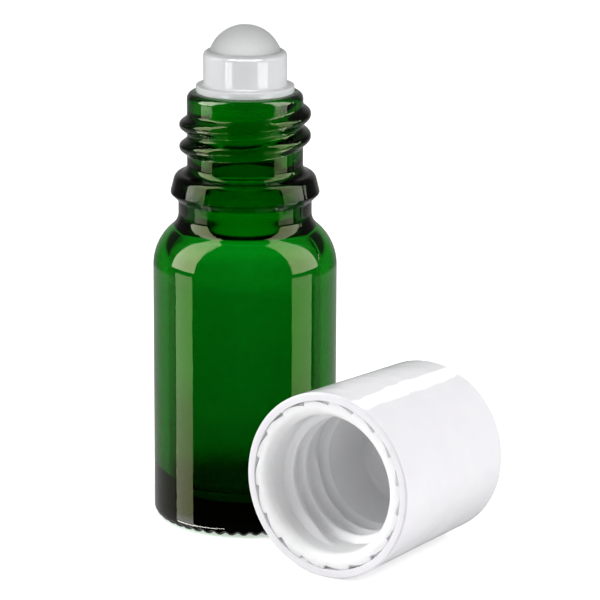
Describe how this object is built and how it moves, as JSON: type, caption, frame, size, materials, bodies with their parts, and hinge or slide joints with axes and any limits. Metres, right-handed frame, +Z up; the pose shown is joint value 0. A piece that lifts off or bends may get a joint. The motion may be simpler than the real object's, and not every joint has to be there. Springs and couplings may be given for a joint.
{
  "type": "roll on bottle",
  "caption": "Small round green glass bottle with a screw neck, a pressed-in housing that holds a free ball, and its two-part white screw cap laid down beside it.",
  "frame": {"origin": "centre of the ring that the bottle stands on, on the bottle's axis", "axes": "+Z up along the bottle's axis towards the ball, -Y towards the viewer, +X to the right, where the open cap lies"},
  "size_m": [0.0471, 0.0475, 0.0682],
  "materials": {
    "green_glass": "polished pressed and blown glass",
    "housing_white": "glossy moulded polyethylene",
    "ball_frosted": "satin frosted plastic",
    "cap_white": "glossy moulded polypropylene",
    "insert_white": "satin moulded polypropylene"
  },
  "bodies": {
    "bottle": {"glass_bottle": "green_glass", "roller_housing": "housing_white"},
    "ball": {"roller_ball": "ball_frosted"},
    "cap": {"cap_shell": "cap_white", "cap_insert": "insert_white"}
  },
  "joints": [
    {"name": "ball_roll", "type": "hinge", "parent": "bottle", "child": "ball", "pos_m": [0, 0, 0.06315], "axis": [1, 0, 0], "continuous": true},
    {"name": "cap_lift", "type": "slide", "parent": "bottle", "child": "cap", "axis": [0, 0, 1], "range_m": [0, 0.08]}
  ]
}
